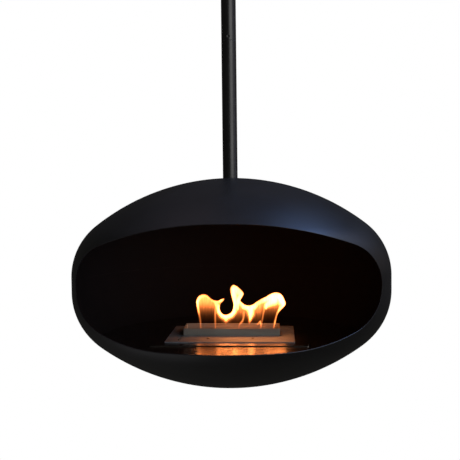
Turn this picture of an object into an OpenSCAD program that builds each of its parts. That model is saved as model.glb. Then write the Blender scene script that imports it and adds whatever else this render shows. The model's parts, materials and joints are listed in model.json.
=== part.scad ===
// Ceiling-hung fireplace: a spun steel shell on a swivelling pole, with a lift-out fuel burner.
// Origin: centre of the ceiling plate's top face. The part hangs down, and its opening faces -Y.

/* [Ceiling fitting] */
// Outside diameter of the canopy that hides the fitting
canopy_d = 170; // [150:1:220]
// Height of the canopy
canopy_h = 96; // [92:1:140]
// Sheet of the canopy
canopy_wall = 1.5; // [1:0.1:3]
// Radius where the canopy's side turns into its underside
canopy_round = 24; // [10:1:30]
// Thickness of the ceiling plate
plate_t = 8; // [6:0.5:12]
// Width of each tab that carries the canopy
tab_width = 16; // [12:1:20]
// Sheet of the tabs
tab_thick = 2.5; // [2:0.1:3]
// Length of the tabs below the plate
tab_drop = 16; // [14:1:24]
// From the plate's underside down to the canopy screws
canopy_screw_drop = 8; // [6:0.5:10]
// Pitch circle of the four anchor holes
anchor_pcd = 130; // [124:1:134]
// Diameter of each anchor hole
anchor_d = 11; // [8:0.5:13]
// Thickness of the housing's flange
housing_flange_t = 6; // [4:0.5:10]
// Diameter of the housing's flange
housing_flange_d = 102; // [98:1:106]
// Pitch circle of the housing screws
housing_pcd = 84; // [80:1:86]
// Wall of the bearing cup
cup_wall = 6; // [4:0.5:7]
// Thickness of the cup's floor, which is the bush's length
cup_floor = 10; // [6:0.5:16]

/* [Thrust bearing] */
// Diameter of the swivel shaft in the bearing
shaft_d = 24; // [20:1:26]
// Outside diameter of the bearing
bearing_d = 52; // [48:1:54]
// Thickness of each race
race_t = 5; // [4:0.5:7]
// Diameter of a ball
ball_d = 9.5; // [8:0.5:10]
// Number of balls
ball_count = 10; // [8:1:10]
// Gap between the two races
race_gap = 6; // [5:0.5:7]
// Thickness of the ball cage
cage_t = 3; // [2:0.5:4]
// Wall of the bronze guide bush
bush_wall = 3; // [2:0.5:5]
// Thickness of the shaft's nut
shaft_nut_h = 10; // [8:0.5:16]
// Width across the flats of the shaft's nut
shaft_nut_af = 36; // [34:1:41]
// Length of shaft above its nut
shaft_tip = 8; // [7:0.5:12]
// Diameter of the pin that locks the nut
lock_pin_d = 4; // [3:0.5:5]

/* [Pole] */
// From the ceiling down to the top of the shell
ceiling_drop = 790; // [600:10:2500]
// Outside diameter of the pole
pole_d = 42.4; // [38:0.1:48.3]
// Wall of the pole
pole_wall = 2.6; // [2:0.1:3.6]
// From the top of the shell up to the joint of the pole
pole_joint_h = 390; // [200:5:420]
// Open seam between the two tubes
pole_seam = 0.5; // [0.2:0.1:1]
// From the seam up to the joint screws
joint_screw_h = 10; // [8:0.5:25]
// Diameter of a joint screw's head
joint_screw_head_d = 9; // [8:0.1:10]
// Diameter of a joint screw's thread
joint_screw_d = 6; // [5:1:8]
// Width of the socket in a joint screw
joint_screw_key = 4; // [3:0.5:5]
// Depth of the spigot in each tube
spigot_depth = 70; // [40:1:90]
// Wall of the spigot
spigot_wall = 5; // [4:0.5:7]
// Depth of the shaft's plug in the upper tube
plug_depth = 48; // [40:1:80]
// From the tube's top down to the cross bolt
cross_bolt_drop = 15; // [12:0.5:18]
// Diameter of the cross bolt
cross_bolt_d = 8; // [6:1:10]

/* [Shell] */
// Outside diameter of the shell
shell_d = 910; // [880:5:1000]
// Thickness of the shell's steel
shell_wall = 2.5; // [2:0.1:4]
// Outside radius of the flat crown of each head
crown_r = 627.5; // [620:2.5:700]
// Outside radius of the knuckle between crown and band
knuckle_r = 182; // [170:1:190]
// Height of the straight band at the equator
band_h = 42; // [30:1:60]

/* [Opening] */
// Width of the opening, seen from the front
opening_w = 814; // [700:2:820]
// From the shell's middle up to the top of the opening
opening_top = 179.5; // [150:0.5:190]
// From the shell's middle down to the bottom of the opening
opening_bottom = 133.5; // [120:0.5:140]
// Height of the opening's side points above the shell's middle
opening_side_z = 9.5; // [0:0.5:20]
// Radius of the opening's upper corners
upper_corner_r = 120; // [90:1:130]
// Radius of the opening's lower corners
lower_corner_r = 118; // [90:1:120]
// Length of the straight middle of the upper edge
upper_flat = 40; // [10:5:80]
// Length of the straight middle of the lower edge
lower_flat = 298; // [100:2:320]

/* [Pole seat] */
// Diameter of the ring welded under the crown
crown_ring_d = 140; // [130:1:180]
// Depth of the ring below the crown's inside
crown_ring_h = 14; // [12:0.5:20]
// Thickness of the pole's flange
pole_flange_t = 8; // [6:0.5:12]
// Pitch circle of the flange bolts
flange_pcd = 104; // [90:1:106]
// Diameter of a flange bolt
flange_bolt_d = 8; // [6:1:10]
// Depth of a flange bolt in the ring
flange_bolt_grip = 9; // [6:0.5:9.5]

/* [Hearth floor] */
// From the shell's middle down to the top of the floor
floor_drop = 160.4; // [158:0.2:200]
// Thickness of the floor plate
floor_t = 2.5; // [2:0.1:4]
// Gap between the floor's edge and the shell
floor_gap = 1.5; // [0.5:0.1:4]
// Length of a floor bracket's tab, along the radius
tab_l = 46; // [38:1:60]
// Width of a floor bracket's tab
tab_w = 36; // [24:1:60]
// Thickness of a floor bracket
bracket_t = 3; // [3:0.5:5]
// Depth of a floor bracket's gusset
gusset_h = 34; // [20:1:50]
// From the floor's edge in to its screws
floor_screw_inset = 26; // [16:1:30]
// Diameter of a floor screw
floor_screw_d = 5; // [4:0.5:5]
// Thickness of the burner frame
frame_t = 3; // [2:0.1:4]
// Width of the frame that shows around the burner
frame_margin = 40; // [20:1:44]
// Distance that the frame carries the burner's flange on
frame_ledge = 15; // [12:1:17]
// Corner radius of the burner frame
frame_corner = 8; // [4:1:20]
// Diameter of the studs under the frame
stud_d = 5; // [4:1:6]

/* [Burner] */
// Width of the burner's flange
burner_w = 360; // [340:2:380]
// Depth of the burner's flange, front to back
burner_l = 258; // [240:1:280]
// Thickness of the burner's flange
flange_t = 2; // [1.5:0.1:4]
// Corner radius of the burner's flange
flange_corner = 3; // [2:0.5:10]
// Width of the collar
collar_w = 278; // [260:1:280]
// Depth of the collar, front to back
collar_l = 90; // [84:1:94]
// Height of the collar above the flange
collar_h = 21; // [12:0.5:28]
// Sheet of the collar
collar_wall = 2; // [1.5:0.1:2.5]
// Depth of the collar below the flange
collar_foot = 2; // [1:0.1:2.1]
// Corner radius of the collar
collar_corner = 3; // [3:0.5:12]
// From the flange's front edge back to the collar
collar_setback = 94; // [88:1:98]
// Height of the damper's space under the flange
damper_space = 6; // [5.6:0.1:8]
// Thickness of the tray's lid
lid_t = 2; // [1.5:0.1:3]
// Width of the tray's lid
lid_w = 322; // [320:1:324]
// Depth of the tray's lid, front to back
lid_l = 202; // [200:1:208]
// Width of the slit over the fuel
slit_w = 264; // [200:2:266]
// Depth of the slit, front to back
slit_l = 44; // [36:1:44]
// Width of the fuel tray
tray_w = 300; // [280:2:310]
// Length of the fuel tray, front to back
tray_l = 190; // [180:2:194]
// Depth of the fuel tray
tray_h = 60; // [40:1:75]
// From the burner's middle back to the middle of the tray and its lid
tray_offset = 4; // [2:0.5:5]
// Sheet of the fuel tray
tray_wall = 1.5; // [1:0.1:3]
// Height of the absorbent wool in the tray
wool_h = 45; // [20:1:50]
// From the middle out to each flange screw, across the burner
flange_screw_x = 63; // [50:1:100]
// From the flange's edge in to each flange screw
flange_screw_inset = 51; // [46:1:54]
// Diameter of a flange screw
flange_screw_d = 5; // [4:0.5:6]
// Diameter of the spacers under the flange
spacer_d = 10; // [8:0.5:14]

/* [Damper] */
// Travel of the damper from open to shut
damper_travel = 48; // [46:1:48]
// Thickness of the damper's plate
damper_t = 1.5; // [1:0.1:2]
// Overlap of the shut damper over each edge of the slit
damper_lap = 3; // [2:0.5:4]
// Width of the damper's plate
damper_w = 306; // [304:1:308]
// Gap between the flange's underside and the damper
damper_drop = 2.5; // [2.2:0.1:2.8]
// Width of each rail
rail_w = 9; // [7:0.5:9]
// Width of the plate's edge that runs in a rail
rail_grip = 4; // [3:0.5:4]
// From the middle out to the lever
lever_x = 143; // [142:0.5:143]
// Width of the lever
lever_w = 4; // [3:0.5:4.2]
// Thickness of the lever
lever_t = 2; // [1.5:0.1:2]
// Height of the lever above the flange
lever_h = 5; // [4:0.5:15]
// From the flange's front edge back to the slot
slot_setback = 18; // [18:0.5:20]
// Margin of the damper's tongue on each side of the lever
tongue_margin = 3.5; // [2.5:0.1:4]
// Length of each rail past the damper's ends
rail_overrun = 3; // [2:0.5:4]
// Length of the lever's foot
foot_l = 14; // [14:1:18]
// Thickness of the lever's foot
foot_t = 1.2; // [1:0.1:1.5]
// Diameter of a rivet's shank
rivet_d = 2; // [1.5:0.1:2.2]

/* [Clearances] */
// Radial gap of a shaft that turns in its bush
running = 0.05; // [0.02:0.01:0.1]
// Gap around a piece that sits in another
seat = 0.05; // [0.02:0.01:0.1]
// Gap between pieces that move past each other
moving = 0.35; // [0.3:0.05:0.5]
// Gap around a screw in its through hole
screw_gap = 0.3; // [0.2:0.05:0.5]
// Gap between the burner and its seat
burner_gap = 0.2; // [0.1:0.05:0.3]
// Gap that a weld fills between the shell and what it carries
weld_gap = 0.3; // [0.3:0.05:0.5]
// Gap between the ceiling plate and the canopy
canopy_gap = 0.5; // [0.3:0.1:0.8]
// Gap between the pole and the hole in the shell
pole_hole_gap = 0.5; // [0.3:0.1:1]
// Gap on each side of the lever in its slot
slot_gap = 0.5; // [0.35:0.05:0.6]
// Gap at each end of the lever's travel
slot_end_gap = 1; // [0.5:0.1:1.5]

/* [Hidden] */
$fn = 96;
eps = 0.01;

// Finishes
satin_black = "#1b1c1e";
zinc = "#b9bcc0";
bright_steel = "#9a9c9e";
brushed_steel = "#8f8c86";
bronze = "#a9793f";
wool_white = "#d9d5cb";

// Ceiling fitting, from the ceiling down
pole_r = pole_d / 2;
plate_r = canopy_d / 2 - canopy_wall - canopy_gap;
tab_x = plate_r - tab_thick - canopy_gap;
blind_skin = 1;
shaft_r = shaft_d / 2;
bearing_r = bearing_d / 2;
cup_r = bearing_r + seat;
shaft_top_z = -plate_t - housing_flange_t;
nut_z = shaft_top_z - shaft_tip;
upper_race_z = nut_z - shaft_nut_h;
ball_z = upper_race_z - race_t - race_gap / 2;
lower_race_z = ball_z - race_gap / 2;
cup_floor_z = lower_race_z - race_t;
cup_bottom_z = cup_floor_z - cup_floor;
shoulder_gap = 2;
shoulder_h = 3;
shoulder_z = cup_bottom_z - shoulder_gap;
tube_top_z = shoulder_z - shoulder_h;
lock_pin_z = nut_z + lock_pin_d / 2 + 1;
bush_r = shaft_r + running + bush_wall;
ball_pitch_r = (shaft_r + bearing_r) / 2;
housing_screw_d = 6;
canopy_cone = 6;
pole_gap = 1.5;
canopy_screw_d = 4;
canopy_screw_z = -plate_t - canopy_screw_drop;

// Pole
pole_bore_r = pole_r - pole_wall;
plug_r = pole_bore_r - seat;
edge_break = 0.5;
screw_sink = 0.4;
screw_land = 0.2;
screw_socket = 1.4;
joint_screw_z = -ceiling_drop + pole_joint_h + joint_screw_h;
cross_bolt_z = tube_top_z - cross_bolt_drop;
joint_z = -ceiling_drop + pole_joint_h;
crown_inside_z = -ceiling_drop - shell_wall;
ring_bottom_z = crown_inside_z - crown_ring_h;
pole_end_z = ring_bottom_z - pole_flange_t;
washer_t = 1.6;
washer_z = pole_end_z - washer_t;

// Shell: each head is a crown sphere, a knuckle torus and half of the straight band
shell_r = shell_d / 2;
knuckle_x = shell_r - knuckle_r;
knuckle_angle = asin(knuckle_x / (crown_r - knuckle_r));
crown_z = band_h / 2 - (crown_r - knuckle_r) * cos(knuckle_angle);
shell_half_h = crown_z + crown_r;
shell_z = -ceiling_drop - shell_half_h;
pole_hole_r = pole_r + pole_hole_gap;
crown_steps = 12;
knuckle_steps = 16;
long_steps = 8;
corner_steps = 14;

// Radius of the shell's inside at a drop below its middle, in the knuckle or in the crown
function inside_r(drop) =
    drop > band_h / 2 + (knuckle_r - shell_wall) * cos(knuckle_angle)
    ? sqrt(pow(crown_r - shell_wall, 2) - pow(drop - crown_z, 2))
    : knuckle_x + sqrt(pow(knuckle_r - shell_wall, 2) - pow(drop - band_h / 2, 2));

// Hearth floor and burner, measured from the shell's middle
floor_bottom = floor_drop + floor_t;
floor_r = inside_r(floor_bottom) - floor_gap;
floor_screw_r = floor_r - floor_screw_inset;
frame_w = burner_w + 2 * frame_margin;
frame_l = burner_l + 2 * frame_margin;
well_w = burner_w - 2 * frame_ledge;
well_l = burner_l - 2 * frame_ledge;
stud_x = frame_w / 2 - frame_margin / 2;
stud_y = frame_l / 2 - frame_margin / 2;
stud_l = floor_t + stud_d + 2;
well_gap = 1;
thread_end = 4;

flange_z = -floor_drop + frame_t + burner_gap;
flange_top_z = flange_z + flange_t;
collar_y = -burner_l / 2 + collar_setback + collar_l / 2;
lid_z = flange_z - damper_space - lid_t;
tray_z = lid_z - tray_h;
wool_gap = 1;
screw_y = burner_l / 2 - flange_screw_inset;

// Damper
slit_y = collar_y;
damper_l = slit_l + 2 * damper_lap;
damper_y = slit_y - damper_travel;
damper_top_z = flange_z - damper_drop;
damper_bottom_z = damper_top_z - damper_t;
slot_w = lever_w + 2 * slot_gap;
slot_l = damper_travel + lever_t + 2 * slot_end_gap;
slot_y = -burner_l / 2 + slot_setback;
lever_y = slot_y + slot_end_gap;
tongue_w = lever_w + 2 * tongue_margin;
rivet_head_d = 1.7 * rivet_d;
rivet_head_h = 0.4 * rivet_d;
rivet_ys = [lever_y + foot_l - 9, lever_y + foot_l - 3];
rail_x = damper_w / 2 - rail_grip;
rail_y0 = damper_y - damper_l / 2 - rail_overrun;
rail_y1 = slit_y + damper_l / 2 + rail_overrun;

// ---------- Shared shapes ----------

// Copies a piece around the axis
module around(count, radius, start = 0)
    for (i = [0:count - 1])
        rotate([0, 0, start + 360 * i / count]) translate([radius, 0, 0]) children();

// Copies a piece to the four corners of a rectangle
module at_corners(x, y)
    for (sx = [-1, 1], sy = [-1, 1]) translate([sx * x, sy * y, 0]) children();

// Flat plate with round corners, centred, standing on z = 0
module plate(w, l, t, corner) {
    linear_extrude(t) rounded(w, l, corner);
}

// Rectangle with round corners
module rounded(w, l, corner) {
    square([w - 2 * corner, l], center = true);
    square([w, l - 2 * corner], center = true);
    at_corners(w / 2 - corner, l / 2 - corner) circle(corner);
}

// Hexagonal prism, by its width across the flats
module hexagon(af, h)
    cylinder(r = af / 2 / cos(30), h = h, $fn = 6);

// Hexagon-head screw that points up from z = 0, with its head below
module hex_screw(d, length) {
    cylinder(d = d - 2 * seat, h = length);
    translate([0, 0, -0.65 * d]) hexagon(1.6 * d, 0.65 * d);
}

// Ring on z = 0
module ring(outer_r, inner_r, h)
    difference() {
        cylinder(r = outer_r, h = h);
        translate([0, 0, -1]) cylinder(r = inner_r, h = h + 2);
    }

// ---------- Ceiling fitting ----------

module ceiling_plate()
    color(zinc) difference() {
        union() {
            translate([0, 0, -plate_t]) cylinder(r = plate_r, h = plate_t);
            around(3, tab_x, 90) translate([0, -tab_width / 2, -plate_t - tab_drop])
                cube([tab_thick, tab_width, tab_drop + 1]);
        }
        around(4, anchor_pcd / 2, 45) translate([0, 0, -plate_t - 1])
            cylinder(d = anchor_d, h = plate_t + 2);
        around(4, housing_pcd / 2) translate([0, 0, -plate_t - 1])
            cylinder(d = housing_screw_d, h = plate_t + 1 - blind_skin);
        around(3, plate_r, 90) translate([0, 0, canopy_screw_z]) rotate([0, 90, 0])
            cylinder(d = canopy_screw_d, h = 12, center = true);
    }

module swivel_housing()
    color(bright_steel) difference() {
        union() {
            translate([0, 0, -plate_t - housing_flange_t])
                cylinder(d = housing_flange_d, h = housing_flange_t);
            translate([0, 0, cup_bottom_z])
                cylinder(r = cup_r + cup_wall, h = shaft_top_z - cup_bottom_z + 1);
        }
        translate([0, 0, cup_floor_z]) cylinder(r = cup_r, h = -cup_floor_z);
        translate([0, 0, cup_bottom_z - 1]) cylinder(r = bush_r + seat, h = cup_floor + 2);
        around(4, housing_pcd / 2) translate([0, 0, -plate_t - housing_flange_t - 1])
            cylinder(d = housing_screw_d + 2 * screw_gap, h = housing_flange_t + 2);
    }

module housing_screws()
    color(zinc) around(4, housing_pcd / 2) translate([0, 0, -plate_t - housing_flange_t])
        hex_screw(housing_screw_d, housing_flange_t + plate_t - 2 * blind_skin);

// Race with a ball groove; the groove opens upward at z = 0
module race(outer_r, inner_r)
    difference() {
        translate([0, 0, -race_t]) ring(outer_r, inner_r, race_t);
        translate([0, 0, race_gap / 2]) rotate_extrude() translate([ball_pitch_r, 0])
            circle(ball_d / 2 + running);
    }

module lower_bearing_race()
    color(bright_steel) translate([0, 0, lower_race_z]) race(bearing_r, shaft_r + 1);

module upper_bearing_race()
    color(bright_steel) translate([0, 0, ball_z + race_gap / 2]) mirror([0, 0, 1])
        race(bearing_r - moving, shaft_r + seat);

module bearing_balls()
    color(zinc) around(ball_count, ball_pitch_r) translate([0, 0, ball_z]) sphere(d = ball_d);

module ball_cage()
    color(bronze) translate([0, 0, ball_z - cage_t / 2]) difference() {
        ring(bearing_r - 1, shaft_r + 1, cage_t);
        around(ball_count, ball_pitch_r) translate([0, 0, -1])
            cylinder(d = ball_d + 2 * running, h = cage_t + 2);
    }

module guide_bush()
    color(bronze) translate([0, 0, cup_bottom_z]) ring(bush_r, shaft_r + running, cup_floor);

module swivel_shaft()
    color(bright_steel) difference() {
        union() {
            translate([0, 0, shoulder_z - eps]) cylinder(r = shaft_r, h = shaft_top_z - shoulder_z - 1);
            translate([0, 0, tube_top_z - plug_depth]) cylinder(r = plug_r, h = shoulder_h + plug_depth);
        }
        translate([0, 0, lock_pin_z]) rotate([0, 90, 0])
            cylinder(d = lock_pin_d, h = 2 * bearing_r, center = true);
        translate([0, 0, cross_bolt_z]) rotate([90, 0, 0])
            cylinder(d = cross_bolt_d, h = pole_d, center = true);
    }

module shaft_nut()
    color(zinc) translate([0, 0, upper_race_z]) difference() {
        hexagon(shaft_nut_af, shaft_nut_h);
        translate([0, 0, -1]) cylinder(r = shaft_r + seat, h = shaft_nut_h + 2);
    }

module nut_lock_pin()
    color(bright_steel) translate([0, 0, lock_pin_z]) rotate([0, 90, 0])
        cylinder(d = lock_pin_d - 2 * seat, h = shaft_d + 8, center = true);

// Half outline of the canopy: straight side, round corner, shallow cone down to the pole
module canopy_profile(inset, top) {
    corner_x = canopy_d / 2 - canopy_round;
    corner_z = -canopy_h + canopy_cone + canopy_round;
    corner_r = canopy_round - inset;
    polygon(concat(
        [[0, top], [corner_x + corner_r, top]],
        [for (a = [0:6:84]) [corner_x + corner_r * cos(a), corner_z - corner_r * sin(a)]],
        [[pole_r, inset - canopy_h], [0, inset - canopy_h]]
    ));
}

module canopy()
    color(satin_black) difference() {
        rotate_extrude() canopy_profile(0, 0);
        rotate_extrude() canopy_profile(canopy_wall, 1);
        translate([0, 0, -canopy_h - 1]) cylinder(r = pole_r + pole_gap, h = canopy_h);
        around(3, plate_r, 90) translate([0, 0, canopy_screw_z]) rotate([0, 90, 0])
            cylinder(d = canopy_screw_d + 2 * screw_gap, h = 12, center = true);
    }

module canopy_screws()
    color(satin_black) around(3, canopy_d / 2, 90) translate([0, 0, canopy_screw_z]) {
        rotate([0, -90, 0]) cylinder(d = canopy_screw_d - 2 * seat, h = canopy_wall + tab_thick + 2);
        rotate([0, 90, 0]) cylinder(d1 = 2 * canopy_screw_d, d2 = 1.4 * canopy_screw_d, h = 2);
    }

// ---------- Pole ----------

// Tube with lightly broken edges, standing on z = 0
module pole_tube(length)
    difference() {
        union() {
            translate([0, 0, edge_break]) cylinder(r = pole_r, h = length - 2 * edge_break);
            cylinder(r1 = pole_r - edge_break, r2 = pole_r, h = edge_break);
            translate([0, 0, length - edge_break])
                cylinder(r1 = pole_r, r2 = pole_r - edge_break, h = edge_break);
        }
        translate([0, 0, -1]) cylinder(r = pole_bore_r, h = length + 2);
    }

module upper_pole_tube()
    color(satin_black) difference() {
        translate([0, 0, joint_z]) pole_tube(tube_top_z - joint_z);
        translate([0, 0, joint_screw_z]) rotate([90, 0, 0])
            cylinder(d = joint_screw_head_d + 2 * seat, h = pole_d + 2, center = true);
        translate([0, 0, cross_bolt_z]) rotate([90, 0, 0])
            cylinder(d = cross_bolt_d + 2 * screw_gap, h = pole_d + 2, center = true);
    }

module cross_bolt()
    color(zinc) translate([0, -pole_r, cross_bolt_z]) rotate([-90, 0, 0])
        hex_screw(cross_bolt_d, pole_d + cross_bolt_d + 2);

module cross_bolt_nut()
    color(zinc) translate([0, pole_r, cross_bolt_z]) rotate([-90, 0, 0]) difference() {
        hexagon(1.6 * cross_bolt_d, 0.8 * cross_bolt_d);
        translate([0, 0, -1]) cylinder(d = cross_bolt_d, h = cross_bolt_d + 2);
    }

module pole_spigot()
    color(bright_steel) translate([0, 0, joint_z]) difference() {
        translate([0, 0, -spigot_depth]) ring(plug_r, plug_r - spigot_wall, 2 * spigot_depth);
        translate([0, 0, joint_screw_h]) rotate([90, 0, 0])
            cylinder(d = joint_screw_d, h = pole_d, center = true);
    }

// Screw with a socket, its head sunk a little in the tube's wall
module joint_screw()
    translate([0, screw_sink - pole_r, joint_screw_z]) rotate([-90, 0, 0]) difference() {
        union() {
            cylinder(d = joint_screw_head_d, h = pole_wall - screw_sink - screw_land);
            cylinder(d = joint_screw_d - 2 * seat, h = pole_wall + spigot_wall);
        }
        translate([0, 0, -1]) hexagon(joint_screw_key, screw_socket + 1);
    }

module pole_joint_screws()
    color(satin_black) for (turn = [0, 180]) rotate([0, 0, turn]) joint_screw();

module lower_pole_tube()
    color(satin_black) translate([0, 0, pole_end_z]) pole_tube(joint_z - pole_seam - pole_end_z);

module pole_flange()
    color(zinc) translate([0, 0, pole_end_z]) difference() {
        ring(crown_ring_d / 2, pole_r + seat, pole_flange_t);
        around(4, flange_pcd / 2, 45) translate([0, 0, -1])
            cylinder(d = flange_bolt_d + 2 * screw_gap, h = pole_flange_t + 2);
    }

module crown_ring()
    color(zinc) difference() {
        intersection() {
            translate([0, 0, ring_bottom_z]) cylinder(d = crown_ring_d, h = crown_ring_h);
            translate([0, 0, shell_z + crown_z]) sphere(r = crown_r - shell_wall - weld_gap, $fn = 200);
        }
        translate([0, 0, ring_bottom_z - 1]) cylinder(r = pole_r + seat, h = crown_ring_h + 2);
        around(4, flange_pcd / 2, 45) translate([0, 0, ring_bottom_z - 1])
            cylinder(d = flange_bolt_d, h = flange_bolt_grip + 2);
    }

module flange_washers()
    color(zinc) around(4, flange_pcd / 2, 45) translate([0, 0, washer_z])
        ring(flange_bolt_d, flange_bolt_d / 2 + screw_gap, washer_t);

module flange_bolts()
    color(zinc) around(4, flange_pcd / 2, 45) translate([0, 0, washer_z])
        hex_screw(flange_bolt_d, washer_t + pole_flange_t + flange_bolt_grip);

// ---------- Shell ----------

// Points of an arc, with its angles measured from the axis
function arc(centre, radius, from, to, steps) =
    [for (i = [0:steps]) let (a = from + (to - from) * i / steps) centre + radius * [sin(a), cos(a)]];

function backwards(points) = [for (i = [len(points) - 1:-1:0]) points[i]];

// Meridian of a dished head, inset from its outside: crown arc, knuckle arc and half of the band
function meridian(inset, hole_r) = concat(
    arc([0, crown_z], crown_r - inset, asin(hole_r / (crown_r - inset)), knuckle_angle, crown_steps),
    arc([knuckle_x, band_h / 2], knuckle_r - inset, knuckle_angle, 90, knuckle_steps),
    [[shell_r - inset, 0]]
);

// Dished head, standing on z = 0, with a hole on top
module dished_head(hole_r)
    rotate_extrude($fn = 200)
        polygon(concat(meridian(0, hole_r), backwards(meridian(shell_wall, hole_r))));

// A quarter of the opening's edge, about its side point: the end of the straight middle, a long arc,
// and a corner arc that stands upright at the side. rise is from the side point to the middle.
function edge_quarter(half_w, rise, flat, corner_r) =
    let (
        reach = half_w - corner_r - flat,
        long_r = (pow(reach, 2) + pow(rise, 2) - pow(corner_r, 2)) / (2 * (rise - corner_r)),
        angle = asin(reach / (long_r - corner_r))
    )
    concat(
        arc([flat, rise - long_r], long_r, 0, angle, long_steps),
        arc([half_w - corner_r, 0], corner_r, angle + (90 - angle) / corner_steps, 90, corner_steps - 1)
    );

// The same points on the other sides, without the shared side point
function mirrored(points, sx, sz) =
    [for (i = [0:len(points) - 2]) [sx * points[i][0], sz * points[i][1]]];

// Outline of the opening, seen from the front
module opening_edge() {
    half_w = opening_w / 2;
    upper = edge_quarter(half_w, opening_top - opening_side_z, upper_flat / 2, upper_corner_r);
    lower = edge_quarter(half_w, opening_bottom + opening_side_z, lower_flat / 2, lower_corner_r);
    translate([0, opening_side_z]) polygon(concat(
        upper, backwards(mirrored(lower, 1, -1)),
        mirrored(lower, -1, -1), [[-half_w, 0]], backwards(mirrored(upper, -1, 1))
    ));
}

module opening_cut()
    translate([0, 0, shell_z]) rotate([90, 0, 0]) linear_extrude(shell_d) opening_edge();

module shell_upper_head()
    color(satin_black) difference() {
        translate([0, 0, shell_z]) dished_head(pole_hole_r);
        opening_cut();
    }

module shell_lower_head()
    color(satin_black) difference() {
        translate([0, 0, shell_z]) mirror([0, 0, 1]) dished_head(0);
        opening_cut();
    }

// ---------- Hearth floor ----------

// Screw with a cone head, pointing down from z = 0
module sunk_screw(d, length) {
    translate([0, 0, -length]) cylinder(d = d - 2 * seat, h = length - 0.1);
    translate([0, 0, -d / 2]) cylinder(d1 = d - 2 * seat, d2 = 2 * d - 2 * seat, h = d / 2);
}

module floor_brackets()
    color(satin_black) around(4, floor_r, 45) translate([0, 0, shell_z - floor_bottom]) difference() {
        intersection() {
            union() {
                translate([-tab_l, -tab_w / 2, -bracket_t]) cube([2 * tab_l, tab_w, bracket_t]);
                for (side = [-1, 1]) translate([0, side * (tab_w - bracket_t) / 2, 0]) rotate([90, 0, 0])
                    linear_extrude(bracket_t, center = true)
                        polygon([[-tab_l, 0], [tab_l, 0], [tab_l, -gusset_h], [-0.7 * tab_l, -gusset_h]]);
            }
            translate([-floor_r, 0, floor_bottom - crown_z])
                sphere(r = crown_r - shell_wall - weld_gap, $fn = 200);
        }
        translate([-floor_screw_inset, 0, -2 * bracket_t]) cylinder(d = floor_screw_d, h = 3 * bracket_t);
    }

module floor_plate()
    color(satin_black) translate([0, 0, shell_z - floor_bottom]) difference() {
        cylinder(r = floor_r, h = floor_t, $fn = 200);
        translate([0, 0, -1])
            plate(well_w + 2 * well_gap, well_l + 2 * well_gap, floor_t + 2, frame_corner);
        at_corners(stud_x, stud_y) translate([0, 0, -1])
            cylinder(d = stud_d + 2 * screw_gap, h = floor_t + 2);
        around(4, floor_screw_r, 45) {
            translate([0, 0, -1]) cylinder(d = floor_screw_d + 2 * seat, h = floor_t + 2);
            translate([0, 0, floor_t - floor_screw_d / 2]) cylinder(
                d1 = floor_screw_d + 2 * seat, d2 = 2 * floor_screw_d + 2 * seat,
                h = floor_screw_d / 2 + eps);
        }
    }

module floor_screws()
    color(satin_black) around(4, floor_screw_r, 45) translate([0, 0, shell_z - floor_drop])
        sunk_screw(floor_screw_d, floor_t + bracket_t + thread_end);

module burner_frame()
    color(satin_black) translate([0, 0, shell_z - floor_drop]) {
        difference() {
            plate(frame_w, frame_l, frame_t, frame_corner);
            translate([0, 0, -1]) plate(well_w, well_l, frame_t + 2, frame_corner);
        }
        at_corners(stud_x, stud_y) translate([0, 0, -stud_l]) cylinder(d = stud_d, h = stud_l + eps);
    }

module frame_nuts()
    color(zinc) at_corners(stud_x, stud_y) translate([0, 0, shell_z - floor_bottom - 0.8 * stud_d])
        difference() {
            hexagon(1.6 * stud_d, 0.8 * stud_d);
            translate([0, 0, -1]) cylinder(d = stud_d + 2 * seat, h = stud_d + 2);
        }

// ---------- Burner ----------

// Places a piece of the burner at a height measured from the shell's middle
module at_height(z)
    translate([0, 0, shell_z + z]) children();

module burner_flange()
    color(brushed_steel) at_height(flange_z) difference() {
        plate(burner_w, burner_l, flange_t, flange_corner);
        translate([0, collar_y, -1])
            plate(collar_w + 2 * seat, collar_l + 2 * seat, flange_t + 2, collar_corner + seat);
        translate([-lever_x - slot_w / 2, slot_y, -1]) cube([slot_w, slot_l, flange_t + 2]);
        at_corners(flange_screw_x, screw_y) translate([0, 0, -1])
            cylinder(d = flange_screw_d + 2 * screw_gap, h = flange_t + 2);
    }

module burner_collar()
    color(brushed_steel) at_height(flange_z - collar_foot) translate([0, collar_y, 0]) difference() {
        plate(collar_w, collar_l, collar_h + flange_t + collar_foot, collar_corner);
        translate([0, 0, -1]) plate(collar_w - 2 * collar_wall, collar_l - 2 * collar_wall,
            collar_h + flange_t + collar_foot + 2, collar_corner - collar_wall);
    }

module tray_lid()
    color(brushed_steel) at_height(lid_z) difference() {
        union() {
            translate([0, tray_offset, 0]) plate(lid_w, lid_l, lid_t, flange_corner);
            at_corners(flange_screw_x, screw_y) translate([0, 0, -flange_screw_d])
                cylinder(d = spacer_d, h = flange_screw_d + eps);
        }
        translate([0, slit_y, -1]) plate(slit_w, slit_l, lid_t + 2, flange_corner);
        at_corners(flange_screw_x, screw_y) translate([0, 0, -flange_screw_d - 1])
            cylinder(d = flange_screw_d, h = flange_screw_d + lid_t + 2);
    }

module fuel_tray()
    color(brushed_steel) at_height(tray_z) translate([0, tray_offset, 0]) difference() {
        plate(tray_w, tray_l, tray_h, collar_corner);
        translate([0, 0, tray_wall]) plate(tray_w - 2 * tray_wall, tray_l - 2 * tray_wall, tray_h,
            collar_corner - tray_wall);
    }

module fuel_wool()
    color(wool_white) at_height(tray_z + tray_wall + seat) translate([0, tray_offset, 0])
        plate(tray_w - 2 * tray_wall - 2 * wool_gap, tray_l - 2 * tray_wall - 2 * wool_gap, wool_h,
            collar_corner);

module tray_spacers()
    color(bright_steel) at_height(lid_z + lid_t) at_corners(flange_screw_x, screw_y)
        ring(spacer_d / 2, flange_screw_d / 2 + screw_gap, damper_space);

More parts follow.
